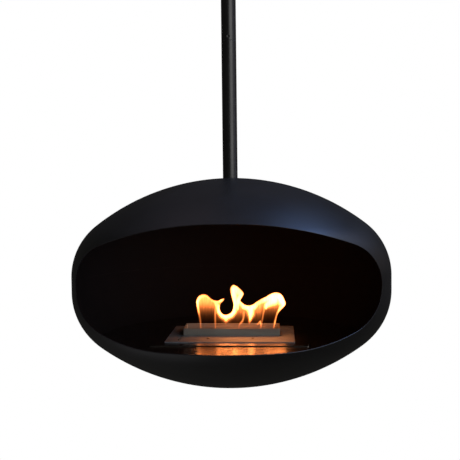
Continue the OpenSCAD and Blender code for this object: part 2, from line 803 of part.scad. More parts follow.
// Low dome head with a socket, on z = 0, and a thread that points down
module dome_screw(d, length)
    difference() {
        union() {
            translate([0, 0, -length]) cylinder(d = d - 2 * seat, h = length + eps);
            intersection() {
                cylinder(d = 1.8 * d, h = 0.5 * d);
                translate([0, 0, -0.8 * d]) sphere(r = 1.3 * d);
            }
        }
        translate([0, 0, 0.2 * d]) hexagon(0.6 * d, d);
    }

module flange_screws()
    color(bright_steel) at_height(flange_top_z) at_corners(flange_screw_x, screw_y)
        dome_screw(flange_screw_d, flange_t + damper_space + lid_t + flange_screw_d);

// ---------- Damper ----------

module damper_rails()
    color(bright_steel) at_height(flange_z) for (side = [0, 1]) mirror([side, 0, 0])
        translate([0, rail_y1, 0]) rotate([90, 0, 0]) linear_extrude(rail_y1 - rail_y0) difference() {
            translate([rail_x, -damper_space]) square([rail_w, damper_space]);
            translate([rail_x - 1, -damper_drop - damper_t - moving])
                square([rail_grip + moving + 1, damper_t + 2 * moving]);
        }

module damper_plate()
    color(brushed_steel) at_height(damper_bottom_z) difference() {
        union() {
            translate([0, damper_y, 0]) plate(damper_w, damper_l, damper_t, damper_t);
            translate([-lever_x - tongue_w / 2, lever_y - slot_end_gap, 0])
                cube([tongue_w, damper_y - lever_y, damper_t]);
        }
        for (y = rivet_ys) translate([-lever_x, y, -1]) cylinder(d = rivet_d, h = damper_t + 2);
    }

module damper_lever()
    color(satin_black) translate([-lever_x - lever_w / 2, lever_y, shell_z + damper_top_z]) difference() {
        union() {
            cube([lever_w, lever_t, damper_drop + flange_t + lever_h]);
            cube([lever_w, foot_l, foot_t]);
        }
        for (y = rivet_ys) translate([lever_w / 2, y - lever_y, -1])
            cylinder(d = rivet_d, h = foot_t + 2);
    }

module lever_rivets()
    color(bright_steel) for (y = rivet_ys) at_height(damper_bottom_z) translate([-lever_x, y, 0]) {
        translate([0, 0, -rivet_head_h]) cylinder(d = rivet_head_d, h = rivet_head_h);
        translate([0, 0, -eps]) cylinder(d = rivet_d - 2 * seat, h = damper_t + foot_t + 2 * eps);
        translate([0, 0, damper_t + foot_t]) cylinder(d = rivet_head_d, h = rivet_head_h);
    }

ceiling_plate();
swivel_housing();
housing_screws();
lower_bearing_race();
bearing_balls();
ball_cage();
upper_bearing_race();
guide_bush();
swivel_shaft();
shaft_nut();
nut_lock_pin();
canopy();
canopy_screws();
upper_pole_tube();
cross_bolt();
cross_bolt_nut();
pole_spigot();
pole_joint_screws();
lower_pole_tube();
pole_flange();
crown_ring();
flange_bolts();
flange_washers();
shell_upper_head();
shell_lower_head();
floor_brackets();
floor_plate();
floor_screws();
burner_frame();
frame_nuts();
burner_flange();
burner_collar();
tray_lid();
fuel_tray();
fuel_wool();
tray_spacers();
flange_screws();
damper_rails();
damper_plate();
damper_lever();
lever_rivets();
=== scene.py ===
"""Looks of a ceiling-hung fireplace: a black spun shell on a pole, with a stainless fuel burner alight.

Everything is in metres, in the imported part's own frame: +Z up the pole, -Y out of the opening.
"""
import json
import math

import bmesh
import bpy
import numpy as np
from mathutils import Matrix, Vector, geometry, kdtree, noise


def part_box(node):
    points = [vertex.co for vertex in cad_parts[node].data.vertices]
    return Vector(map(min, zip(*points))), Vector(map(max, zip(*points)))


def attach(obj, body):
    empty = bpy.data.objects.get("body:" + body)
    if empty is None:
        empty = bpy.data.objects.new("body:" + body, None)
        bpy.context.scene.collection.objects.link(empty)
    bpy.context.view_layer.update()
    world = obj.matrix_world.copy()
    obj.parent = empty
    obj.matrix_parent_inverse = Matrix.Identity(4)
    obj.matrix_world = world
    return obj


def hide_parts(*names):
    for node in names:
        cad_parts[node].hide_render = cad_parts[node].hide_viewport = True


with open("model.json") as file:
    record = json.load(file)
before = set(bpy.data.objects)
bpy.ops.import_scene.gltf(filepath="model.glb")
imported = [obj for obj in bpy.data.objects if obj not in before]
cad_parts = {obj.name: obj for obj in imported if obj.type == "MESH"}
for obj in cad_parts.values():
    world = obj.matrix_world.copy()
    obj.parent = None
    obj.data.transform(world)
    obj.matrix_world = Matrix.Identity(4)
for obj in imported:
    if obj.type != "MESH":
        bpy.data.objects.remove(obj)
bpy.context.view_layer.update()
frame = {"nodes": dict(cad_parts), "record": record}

MM = 0.001
body_of = {node: body for body, nodes in frame["record"]["behaviour"]["bodies"].items() for node in nodes}

# ---------- Sizes, as made ----------
shell_low, shell_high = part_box("shell_upper_head")
shell_z = shell_low.z
shell_r = (shell_high.x - shell_low.x) / 2
crown_r = 627.5 * MM
knuckle_r = 182 * MM
band_h = 42 * MM
shell_wall = 2.5 * MM
pole_r = 21.2 * MM
pole_hole_r = 21.7 * MM

# Opening, seen from the front, from the shell's middle
opening_half_w = 407 * MM
opening_top = 179.5 * MM
opening_bottom = 133.5 * MM
opening_side_z = 9.5 * MM
upper_corner_r = 120 * MM
lower_corner_r = 118 * MM
upper_flat = 20 * MM
lower_flat = 149 * MM

# Burner, floor and canopy
flange_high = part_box("burner_flange")[1]
collar_low, collar_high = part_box("burner_collar")
lid_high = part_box("tray_lid")[1]
wool_low, wool_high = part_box("fuel_wool")
floor_low, floor_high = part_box("floor_plate")
canopy_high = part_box("canopy")[1]
slit_y = (collar_low.y + collar_high.y) / 2
hot_half_l = 132 * MM
hot_half_w = 22 * MM
tint_reach = 22 * MM


# ---------- Node trees, written as arithmetic ----------

class Value:
    """A number that runs through a node tree and takes the usual signs of arithmetic."""

    def __init__(self, tree, socket):
        self.tree = tree
        self.socket = socket

    def __rsub__(self, other):
        return maths(self.tree, "SUBTRACT", other, self)

    def held(self):
        """The number held between 0 and 1."""
        result = self + 0.0
        result.socket.node.use_clamp = True
        return result

    def ramp(self, start, end, low=0.0, high=1.0):
        """low at start and high at end, eased at both."""
        node = add_node(self.tree, "ShaderNodeMapRange", {"interpolation_type": "SMOOTHSTEP"},
                        Value=self, From_Min=start, From_Max=end, To_Min=low, To_Max=high)
        return output(node, "Result")


def method_of(operation):
    """A method of a running value that takes it through one Math node."""
    return lambda value, *others: maths(value.tree, operation, value, *others)


for method, operation in {
        "__add__": "ADD", "__radd__": "ADD", "__sub__": "SUBTRACT", "__mul__": "MULTIPLY",
        "__rmul__": "MULTIPLY", "__truediv__": "DIVIDE", "__pow__": "POWER", "__lt__": "LESS_THAN",
        "__gt__": "GREATER_THAN", "root": "SQRT", "size": "ABSOLUTE", "sine": "SINE", "cosine": "COSINE",
        "whole": "ROUND", "at_least": "MAXIMUM"}.items():
    setattr(Value, method, method_of(operation))


def plug(value, socket):
    """Feeds a socket from a running value, or sets it."""
    if isinstance(value, Value):
        value.tree.links.new(value.socket, socket)
    else:
        socket.default_value = value


def maths(tree, operation, *inputs):
    """One Math node."""
    node = tree.nodes.new("ShaderNodeMath")
    node.operation = operation
    for value, socket in zip(inputs, node.inputs):
        plug(value, socket)
    return Value(tree, node.outputs[0])


def add_node(tree, kind, settings=None, **inputs):
    """A node with its settings, and its inputs by name, with _ for a space."""
    node = tree.nodes.new(kind)
    for name, setting in (settings or {}).items():
        setattr(node, name, setting)
    for name, value in inputs.items():
        plug(value, node.inputs[name.replace("_", " ")])
    return node


def output(node, name=0):
    """An output of a node as a running value."""
    return Value(node.id_data, node.outputs[name])


def vectors(tree, operation, *inputs, result="Vector"):
    """One Vector Math node."""
    node = tree.nodes.new("ShaderNodeVectorMath")
    node.operation = operation
    for value, socket in zip(inputs, node.inputs):
        plug(value, socket)
    return output(node, result)


def split(vector):
    """The x, y and z of a running vector."""
    node = add_node(vector.tree, "ShaderNodeSeparateXYZ", Vector=vector)
    return [output(node, axis) for axis in "XYZ"]


def joined(tree, x, y, z):
    """A running vector from its three parts."""
    return output(add_node(tree, "ShaderNodeCombineXYZ", X=x, Y=y, Z=z))


def blend(low, high, share):
    """Straight mix of two numbers by a share from 0 to 1."""
    return low + (high - low) * share


def new_tree(name, kind, inputs, outputs):
    """A node tree with named inputs and outputs. Returns it and its inputs as running values."""
    tree = bpy.data.node_groups.new(name, kind + "NodeTree")
    for side, sockets in (("INPUT", inputs), ("OUTPUT", outputs)):
        for label, socket in sockets.items():
            tree.interface.new_socket(label, in_out=side, socket_type="NodeSocket" + socket)
    source = tree.nodes.new("NodeGroupInput")
    return tree, {socket.name: Value(tree, socket) for socket in source.outputs if socket.name}


# ---------- Geometry trees ----------

def geometry_tree(name, inputs):
    """A geometry tree with named inputs. Returns it and its inputs as running values."""
    return new_tree(name, "Geometry", {"Geometry": "Geometry", **inputs, "Material": "Material"},
                    {"Geometry": "Geometry"})


def end_tree(tree, shape, size):
    """Ends a geometry tree with real geometry in its material."""
    real = add_node(tree, "GeometryNodeRealizeInstances", Geometry=shape)
    painted = add_node(tree, "GeometryNodeSetMaterial", Geometry=output(real), Material=size["Material"])
    plug(output(painted), tree.nodes.new("NodeGroupOutput").inputs["Geometry"])
    return tree


def placed(name, data):
    """A new object in the scene."""
    piece = bpy.data.objects.new(name, data)
    bpy.context.scene.collection.objects.link(piece)
    return piece


def plain_mesh(source):
    """An object's mesh as its modifiers leave it. The object goes."""
    evaluated = source.evaluated_get(bpy.context.evaluated_depsgraph_get())
    mesh = bpy.data.meshes.new_from_object(evaluated)
    bpy.data.objects.remove(source)
    return mesh


def made_by(name, start, steps):
    """Takes a mesh through geometry trees, each with its own sizes, and returns the plain result."""
    source = placed(name + "_start", start)
    for tree, sizes in steps:
        modifier = source.modifiers.new(tree.name, "NODES")
        modifier.node_group = tree
        identifiers = {item.name: item.identifier for item in tree.interface.items_tree
                       if item.in_out == "INPUT"}
        for label, value in sizes.items():
            modifier[identifiers[label]] = value
    mesh = plain_mesh(source)
    mesh.name = name
    return mesh


def line_mesh(name, points):
    """An open line of edges."""
    mesh = bpy.data.meshes.new(name)
    mesh.from_pydata(points, [(i, i + 1) for i in range(len(points) - 1)], [])
    return mesh


def sheet_grid(tree, across, along):
    """A flat grid, with the share of the way across and along it at each point."""
    grid = add_node(tree, "GeometryNodeMeshGrid", Size_X=1.0, Size_Y=1.0, Vertices_X=across,
                    Vertices_Y=along)
    x, y, _ = split(output(tree.nodes.new("GeometryNodeInputPosition")))
    return output(grid, "Mesh"), x + 0.5, y + 0.5


def moved(tree, shape, position):
    """Puts each point at its new position and closes the seams."""
    node = add_node(tree, "GeometryNodeSetPosition", Geometry=shape, Position=position)
    return output(add_node(tree, "GeometryNodeMergeByDistance", Geometry=output(node), Distance=2e-6))


def dished_head_tree():
    """A spun head, as a sheet from the back of the shell, round the opening's edge, and back inside.

    The mesh that comes in is the edge of the opening, as a line of points in the front view.
    """
    sizes = ("Shell Radius", "Crown Radius", "Knuckle Radius", "Band Height", "Wall", "Rim Round", "Lean",
             "Middle")
    tree, size = geometry_tree("dished head", {**dict.fromkeys(sizes, "Float"), "Columns": "Int",
                                               "Rows": "Int"})
    half_band = size["Band Height"] * 0.5
    knuckle_x = size["Shell Radius"] - size["Knuckle Radius"]
    spread = size["Crown Radius"] - size["Knuckle Radius"]
    cos_knuckle = (1 - (knuckle_x / spread) ** 2).root()
    crown_z = half_band - spread * cos_knuckle

    round_rows = 5
    flat_rows = 2
    rim_rows = 2 * round_rows + flat_rows
    face_rows = size["Rows"]
    last_row = face_rows * 2 + rim_rows
    sheet, across, along = sheet_grid(tree, size["Columns"], last_row + 1)
    column = (across * (size["Columns"] - 1)).whole()
    row = (along * last_row).whole()
    seam = (column < 0.5) + (column > size["Columns"] - 1.5)
    way_round = ((column - 1) / (size["Columns"] - 3)).held()

    # Share of the way from the edge to the back of the shell, on the outside and on the inside
    outside = ((face_rows - row) / face_rows).held()
    inside = ((row - face_rows - rim_rows) / face_rows).held()
    to_back = outside.at_least(inside) ** 1.5

    # The edge itself, cut square to the sheet: a quarter round, the flat, and a quarter round
    rim = size["Rim Round"]
    rim_row = row - face_rows
    first = (rim_row / round_rows).held() * (math.pi / 2)
    second = ((rim_row - round_rows - flat_rows) / round_rows).held() * (math.pi / 2)
    inward = rim * (1 - first.sine()) + rim * (1 - second.cosine())
    depth = (rim * (1 - first.cosine()) + rim * second.sine()
             + (size["Wall"] - rim * 2) * ((rim_row - round_rows) / flat_rows).held())
    depth = blend(depth, size["Wall"] * 0.5, seam)
    inward = inward - depth * size["Lean"]

    # The point of the opening's edge, moved a little into the sheet
    line = output(add_node(tree, "GeometryNodeMeshToCurve", Mesh=size["Geometry"]))
    sample = add_node(tree, "GeometryNodeSampleCurve", {"mode": "FACTOR", "use_all_curves": True},
                      Curves=line, Factor=way_round)
    edge_x, _, edge_z = split(output(sample, "Position"))
    tangent_x, _, tangent_z = split(output(sample, "Tangent"))
    off_seam = edge_z.size() > 1e-7
    edge_x = edge_x + tangent_z * inward
    edge_z = edge_z - tangent_x * inward * off_seam

    # How far out the sheet lies at the height of that point
    up = edge_z.size()
    knuckle_in = size["Knuckle Radius"] - depth
    crown_in = size["Crown Radius"] - depth
    knuckle_top = half_band + knuckle_in * cos_knuckle
    above_band = (up - half_band).at_least(0.0)
    knuckle_reach = knuckle_x + (knuckle_in ** 2 - above_band ** 2).at_least(0.0).root()
    crown_reach = (crown_in ** 2 - (up - crown_z) ** 2).at_least(0.0).root()
    reach = blend(knuckle_reach, crown_reach, up > knuckle_top)
    edge_y = (reach ** 2 - edge_x ** 2).root()

    # The direction swings from that point to the back of the shell
    length = (edge_x ** 2 + edge_y ** 2 + edge_z ** 2).root()
    swing = maths(tree, "ARCCOSINE", (0 - edge_y) / length)
    kept = (swing * (1 - to_back)).sine() / swing.sine() / length
    gained = (swing * to_back).sine() / swing.sine()
    way_x = edge_x * kept
    way_y = gained - edge_y * kept
    way_z = edge_z * kept

    # The sheet lies where that direction meets the band, the knuckle or the crown
    flat = (way_x ** 2 + way_y ** 2).root()
    rise = way_z.size()
    band_in = size["Shell Radius"] - depth
    along_knuckle = flat * knuckle_x + rise * half_band
    to_knuckle = along_knuckle + (
        along_knuckle ** 2 - knuckle_x ** 2 - half_band ** 2 + knuckle_in ** 2).at_least(0.0).root()
    along_crown = rise * crown_z
    to_crown = along_crown + (along_crown ** 2 - crown_z ** 2 + crown_in ** 2).root()
    crown_start = knuckle_x + knuckle_in * knuckle_x / spread
    far = blend(band_in / flat, to_knuckle, rise * band_in > flat * half_band)
    far = blend(far, to_crown, rise * crown_start > flat * knuckle_top)
    place = joined(tree, way_x * far, way_y * far, way_z * far + size["Middle"])
    return end_tree(tree, moved(tree, sheet, place), size)


def drilled_tree():
    """A round hole down through whatever comes in."""
    tree, size = geometry_tree("drilled", {"Radius": "Float", "Depth": "Float", "Height": "Float"})
    drill = add_node(tree, "GeometryNodeMeshCylinder", Vertices=96, Radius=size["Radius"],
                     Depth=size["Depth"])
    raised = add_node(tree, "GeometryNodeTransform", Geometry=output(drill, "Mesh"),
                      Translation=joined(tree, 0.0, 0.0, size["Height"]))
    cut = add_node(tree, "GeometryNodeMeshBoolean", {"operation": "DIFFERENCE", "solver": "EXACT"})
    plug(size["Geometry"], cut.inputs[0])
    plug(output(raised), cut.inputs[1])
    return end_tree(tree, output(cut), size)


def turned_tree():
    """A turned part: the profile that comes in (radius in x, height in z) spun about Z.

    A point of the profile whose "flats" is 1 follows a hexagon, as a bolt's head or a socket does.
    """
    tree, size = geometry_tree("turned part", {"Steps": "Int", "Turn": "Vector"})
    domain = add_node(tree, "GeometryNodeAttributeDomainSize", Geometry=size["Geometry"])
    rows = output(domain, "Point Count")
    sheet, across, along = sheet_grid(tree, size["Steps"] + 1, rows)
    row = (along * (rows - 1)).whole()
    angle = (across * size["Steps"]).whole() / size["Steps"] * (2 * math.pi)

    def at_row(kind, value):
        node = add_node(tree, "GeometryNodeSampleIndex", {"data_type": kind, "domain": "POINT"},
                        Geometry=size["Geometry"], Value=value, Index=row)
        return output(node, "Value")

    place = output(tree.nodes.new("GeometryNodeInputPosition"))
    radius, _, height = split(at_row("FLOAT_VECTOR", place))
    marked = add_node(tree, "GeometryNodeInputNamedAttribute", {"data_type": "FLOAT"}, Name="flats")
    flats = at_row("FLOAT", output(marked, "Attribute"))
    sixth = math.pi / 3
    from_middle = maths(tree, "FLOORED_MODULO", angle, sixth) - sixth / 2
    radius = blend(radius, radius / from_middle.cosine(), flats)
    spun = joined(tree, radius * angle.cosine(), radius * angle.sine(), height)
    turned = add_node(tree, "GeometryNodeTransform", Geometry=moved(tree, sheet, spun),
                      Rotation=size["Turn"])
    return end_tree(tree, output(turned), size)


def copies_tree(name, pattern, inputs):
    """Copies of the mesh that comes in at the points of a pattern, facing out or turned by chance."""
    tree, size = geometry_tree(name, dict(inputs, Height="Float", Outward="Float", Loose="Float",
                                          Seed="Int"))
    points = add_node(tree, "GeometryNodeTransform", Geometry=pattern(tree, size),
                      Translation=joined(tree, 0.0, 0.0, size["Height"]))
    x, y, _ = split(output(tree.nodes.new("GeometryNodeInputPosition")))
    chance = add_node(tree, "FunctionNodeRandomValue", {"data_type": "FLOAT"}, Seed=size["Seed"])
    spin = maths(tree, "ARCTAN2", y, x) * size["Outward"] + output(chance, 1) * size["Loose"]
    copies = add_node(tree, "GeometryNodeInstanceOnPoints", Points=output(points),
                      Instance=size["Geometry"], Rotation=joined(tree, 0.0, 0.0, spin))
    return end_tree(tree, output(copies), size)


def circle_pattern(tree, size):
    """Points round a circle, from a starting angle."""
    turn = output(tree.nodes.new("GeometryNodeInputIndex")) / size["Count"] * (2 * math.pi) + size["Start"]
    place = joined(tree, size["Radius"] * turn.cosine(), size["Radius"] * turn.sine(), 0.0)
    return output(add_node(tree, "GeometryNodePoints", Count=size["Count"], Position=place))


def corner_pattern(tree, size):
    """The four corners of a rectangle."""
    grid = add_node(tree, "GeometryNodeMeshGrid", Size_X=size["Half Width"] * 2,
                    Size_Y=size["Half Length"] * 2, Vertices_X=2, Vertices_Y=2)
    return output(grid, "Mesh")


dished_head = dished_head_tree()
drilled = drilled_tree()
turned_part = turned_tree()
on_circle = copies_tree("copies on a circle", circle_pattern,
                        {"Count": "Int", "Radius": "Float", "Start": "Float"})
at_corners = copies_tree("copies at corners", corner_pattern,
                         {"Half Width": "Float", "Half Length": "Float"})


# ---------- Shader groups ----------

def shader_group(name, inputs, build, outputs):
    """A shader group that takes a position and numbers, and puts out what build makes of them."""
    tree, size = new_tree(name, "Shader", {"Position": "Vector", **dict.fromkeys(inputs, "Float")},
                          dict.fromkeys(outputs, "Float"))
    end = tree.nodes.new("NodeGroupOutput")
    for label, value in zip(outputs, build(tree, size)):
        plug(value, end.inputs[label])
    return tree


def noise_at(tree, position, scale, detail=2.0, roughness=0.5):
    """Soft noise from 0 to 1."""
    node = add_node(tree, "ShaderNodeTexNoise", Vector=position, Scale=scale, Detail=detail,
                    Roughness=roughness)
    return output(node, "Fac")


def stretched(tree, position, x_scale, y_scale, z_scale):
    """A position scaled along each axis."""
    x, y, z = split(position)
    return joined(tree, x * x_scale, y * y_scale, z * z_scale)


def build_lines(tree, size):
    """Fine brushed lines, with the cloudy patches of a hand that pressed unevenly."""
    along = stretched(tree, size["Position"], size["Scale X"], size["Scale Y"], size["Scale Z"])
    fine = noise_at(tree, along, 1.0, 4.0, 0.7)
    patches = noise_at(tree, size["Position"], size["Patch Scale"], 2.0)
    return fine, (fine - 0.5) * patches.ramp(0.3, 0.7, 0.5, 1.2) + 0.5, patches


def build_mottle(tree, size):
    """Uneven spray: broad clouds and the small waves of orange peel."""
    return (noise_at(tree, size["Position"], size["Cloud Scale"], 3.0),
            noise_at(tree, size["Position"], size["Peel Scale"], 1.5))


def build_wear(tree, size):
    """Worn edges: where the surface turns, broken up by noise."""
    rounded = add_node(tree, "ShaderNodeBevel", {"samples": 4}, Radius=size["Reach"])
    normal = tree.nodes.new("ShaderNodeNewGeometry")
    turned = vectors(tree, "DOT_PRODUCT", output(rounded), output(normal, "Normal"), result="Value")
    edge = (1 - turned).ramp(0.01, 0.12)
    broken = noise_at(tree, size["Position"], size["Break Scale"], 4.0, 0.6)
    return (edge * broken.ramp(0.35, 0.65) * size["Amount"],)


def build_dust(tree, size):
    """Dust that has settled on what faces up."""
    _, _, facing = split(output(tree.nodes.new("ShaderNodeNewGeometry"), "Normal"))
    clouds = noise_at(tree, size["Position"], size["Cloud Scale"], 3.0)
    specks = noise_at(tree, size["Position"], size["Speck Scale"], 1.0)
    return (facing.ramp(0.5, 0.95) * (clouds.ramp(0.35, 0.75) * 0.6 + specks.ramp(0.62, 0.72) * 0.4)
            * size["Amount"],)


brushed_lines = shader_group("brushed lines", ["Scale X", "Scale Y", "Scale Z", "Patch Scale"],
                             build_lines, ["Fine", "Lines", "Patches"])
spray_mottle = shader_group("spray mottle", ["Cloud Scale", "Peel Scale"], build_mottle,
                            ["Clouds", "Peel"])
edge_wear = shader_group("edge wear", ["Reach", "Break Scale", "Amount"], build_wear, ["Wear"])
settled_dust = shader_group("settled dust", ["Cloud Scale", "Speck Scale", "Amount"], build_dust,
                            ["Dust"])


# ---------- Materials ----------

ALONG_X, ALONG_Y = (1.0, 0.0, 0.0), (0.0, 1.0, 0.0)


class Finish:
    """A material with one Principled shader, its own position, and the shared groups."""

    def __init__(self, name, **constants):
        self.material = bpy.data.materials.new(name)
        self.material.use_nodes = True
        self.tree = self.material.node_tree
        self.shader = self.tree.nodes["Principled BSDF"]
        for label, value in constants.items():
            self.shader.inputs[label.replace("_", " ")].default_value = value
        self.position = output(self.tree.nodes.new("ShaderNodeTexCoord"), "Object")

    def group(self, tree, **inputs):
        """Places a shared group and returns its outputs."""
        node = add_node(self.tree, "ShaderNodeGroup", {"node_tree": tree}, Position=self.position,
                        **inputs)
        return [output(node, socket.name) for socket in node.outputs]

    def streaks(self, scales, detail, roughness=0.5):
        """Noise drawn out along the axes."""
        return noise_at(self.tree, stretched(self.tree, self.position, *scales), 1.0, detail, roughness)

    def colour(self, *stops):
        """Base colour that goes from one colour to the next, each by a share of its own."""
        mixed = stops[0]
        for colour, share in stops[1:]:
            mixed = self.mixed(mixed, colour, share)
        plug(mixed, self.shader.inputs["Base Color"])

    def mixed(self, first, second, share):
        """Mix of two colours."""
        node = self.tree.nodes.new("ShaderNodeMix")
        node.data_type = "RGBA"
        plug(share, node.inputs["Factor"])
        for value, socket in ((first, node.inputs[6]), (second, node.inputs[7])):
            plug(value if isinstance(value, Value) else (*value, 1.0), socket)
        return Value(self.tree, node.outputs[2])

    def set(self, label, value):
        """Feeds one of the shader's sockets."""
        plug(value, self.shader.inputs[label])

    def relief(self, height, depth):
        """Bump of a real depth in metres."""
        bump = add_node(self.tree, "ShaderNodeBump", Height=height, Distance=depth)
        plug(output(bump), self.shader.inputs["Normal"])

    def grooves(self, lines, tilt, way):
        """Grooves that run one way, too fine to see one by one, that spread a reflection across them."""
        along = add_node(self.tree, "ShaderNodeVectorTransform", {
            "vector_type": "VECTOR", "convert_from": "OBJECT", "convert_to": "WORLD"},
            Vector=way)
        facing = output(self.tree.nodes.new("ShaderNodeNewGeometry"), "Normal")
        across = vectors(self.tree, "CROSS_PRODUCT", facing, output(along))
        leaned = vectors(self.tree, "MULTIPLY_ADD", across, (lines - 0.5) * tilt, facing)
        plug(vectors(self.tree, "NORMALIZE", leaned), self.shader.inputs["Normal"])


def spray_paint(name, base, roughness, gloss, dust):
    """Sprayed paint with orange peel, soft clouds, worn edges and a little dust."""
    finish = Finish(name, Specular_IOR_Level=gloss)
    clouds, peel = finish.group(spray_mottle, Cloud_Scale=7.0, Peel_Scale=420.0)
    wear, = finish.group(edge_wear, Reach=0.0012, Break_Scale=60.0, Amount=0.35)
    settled, = finish.group(settled_dust, Cloud_Scale=9.0, Speck_Scale=700.0, Amount=dust)
    lighter = [channel * 1.5 for channel in base]
    finish.colour(base, (lighter, clouds), ((0.10, 0.10, 0.105), wear), ((0.20, 0.19, 0.18), settled))
    finish.set("Roughness", clouds.ramp(0.3, 0.7, roughness - 0.03, roughness + 0.03) + settled * 0.3
               + wear * 0.1)
    finish.relief(peel, 0.00003)
    return finish.material


def blackened_plate(name, base, roughness):
    """Rolled steel plate, blackened and polished, with the fine grooves of the roll."""
    finish = Finish(name, Metallic=1.0)
    fine, _, patches = finish.group(brushed_lines, Scale_X=8.0, Scale_Y=2400.0, Scale_Z=2400.0,
                                    Patch_Scale=14.0)
    wear, = finish.group(edge_wear, Reach=0.0008, Break_Scale=90.0, Amount=0.15)
    settled, = finish.group(settled_dust, Cloud_Scale=12.0, Speck_Scale=800.0, Amount=0.02)
    finish.colour(base, ([channel * 1.2 for channel in base], patches), ((0.36, 0.34, 0.32), wear),
                  ((0.2, 0.19, 0.18), settled))
    finish.set("Roughness", blend(roughness - 0.03, roughness + 0.05, patches) + settled * 0.3)
    finish.grooves(fine, 1.0, ALONG_X)
    return finish.material


def plated(name, base):
    """Zinc plate: dull grey with a faint crystal pattern and brighter, rubbed edges."""
    finish = Finish(name, Metallic=1.0)
    cells = add_node(finish.tree, "ShaderNodeTexVoronoi", Vector=finish.position, Scale=260.0)
    tone, _, _ = split(output(cells, "Color"))
    clouds, peel = finish.group(spray_mottle, Cloud_Scale=30.0, Peel_Scale=900.0)
    wear, = finish.group(edge_wear, Reach=0.001, Break_Scale=200.0, Amount=0.8)
    finish.colour([channel * 0.8 for channel in base], (base, tone), ((0.45, 0.44, 0.42), clouds * 0.4),
                  ((0.75, 0.76, 0.78), wear))
    finish.set("Roughness", clouds.ramp(0.3, 0.7, 0.34, 0.5))
    finish.relief(peel, 0.00002)
    return finish.material


def machined(name, base, tint):
    """Turned or milled metal with fine tool marks round the axis and a trace of oil."""
    finish = Finish(name, Metallic=1.0)
    x, y, z = split(finish.position)
    rings = joined(finish.tree, (x ** 2 + y ** 2).root() * 2600.0, z * 2600.0, 0.0)
    marks = noise_at(finish.tree, rings, 1.0, 3.0, 0.7)
    clouds, _ = finish.group(spray_mottle, Cloud_Scale=45.0, Peel_Scale=900.0)
    wear, = finish.group(edge_wear, Reach=0.0008, Break_Scale=150.0, Amount=0.6)
    finish.colour(base, (tint, clouds.ramp(0.35, 0.75) * 0.6), ([channel * 1.25 for channel in base], wear))
    finish.set("Roughness", blend(0.2, 0.42, marks))
    finish.relief(marks, 0.00002)
    return finish.material


def brushed_stainless(name, scales, way, tilt, base, roughness):
    """Brushed stainless sheet, tinted straw, bronze and blue by the heat near the slit."""
    finish = Finish(name, Metallic=1.0)
    fine, lines, patches = finish.group(brushed_lines, Scale_X=scales[0], Scale_Y=scales[1],
                                        Scale_Z=1500.0, Patch_Scale=22.0)
    wear, = finish.group(edge_wear, Reach=0.0007, Break_Scale=180.0, Amount=0.5)
    x, y, _ = split(finish.position)
    past_end = (x.size() - hot_half_l).at_least(0.0)
    past_side = ((y - slit_y).size() - hot_half_w).at_least(0.0)
    away = (past_end ** 2 + past_side ** 2).root() + (patches - 0.5) * 0.01
    heat = away.ramp(0.0, tint_reach, 1.0, 0.0)
    finish.colour(base, ([channel * 1.2 for channel in base], lines),
                  ((0.62, 0.49, 0.32), heat.ramp(0.05, 0.5) * 0.6),
                  ((0.45, 0.27, 0.19), heat.ramp(0.45, 0.85) * 0.45),
                  ((0.23, 0.22, 0.33), heat.ramp(0.8, 1.0) * 0.3), ((0.7, 0.69, 0.67), wear))
    finish.set("Roughness", blend(roughness - 0.06, roughness + 0.06, lines)
               + patches.ramp(0.3, 0.7, -0.03, 0.05))
    finish.grooves(fine, tilt, way)
    return finish.material


def ceramic_wool(name):
    """Matted white ceramic fibre, singed a little at its top."""
    finish = Finish(name, Roughness=1.0, Specular_IOR_Level=0.1, Sheen_Weight=0.3)
    tangle = finish.streaks((260.0, 900.0, 500.0), 5.0, 0.7)
    cross = finish.streaks((900.0, 240.0, 500.0), 5.0, 0.7)
    clouds, _ = finish.group(spray_mottle, Cloud_Scale=40.0, Peel_Scale=900.0)
    _, _, z = split(finish.position)
    singed = z.ramp(wool_high.z - 6 * MM, wool_high.z) * clouds.ramp(0.4, 0.7)
    fibre = tangle.ramp(0.3, 0.7) * 0.5 + cross.ramp(0.3, 0.7) * 0.5
    finish.colour((0.52, 0.50, 0.46), ((0.80, 0.78, 0.73), fibre), ((0.34, 0.26, 0.18), singed * 0.7))
    finish.relief(fibre, 0.0006)
    return finish.material


def flame_light(name):
    """Burning vapour: how much it glows comes from the piece's own "glow", broken by rising streaks."""
    finish = Finish(name, Roughness=1.0, Specular_IOR_Level=0.0, Emission_Strength=18.0,
                    Base_Color=(0.0, 0.0, 0.0, 1.0))
    glow = output(add_node(finish.tree, "ShaderNodeAttribute", {"attribute_name": "glow"}), "Fac")
    streaks = finish.streaks((260.0, 60.0, 40.0), 3.0)
    lit = (glow * streaks.ramp(0.25, 0.75, 0.7, 1.3)).held()
    layer = 1 - (1 - lit).root()
    thin, dense = (1.0, 0.23, 0.045), (1.0, 0.28, 0.068)
    finish.set("Emission Color", finish.mixed(thin, dense, glow.ramp(0.02, 0.5)))
    finish.set("Alpha", layer)
    return finish.material


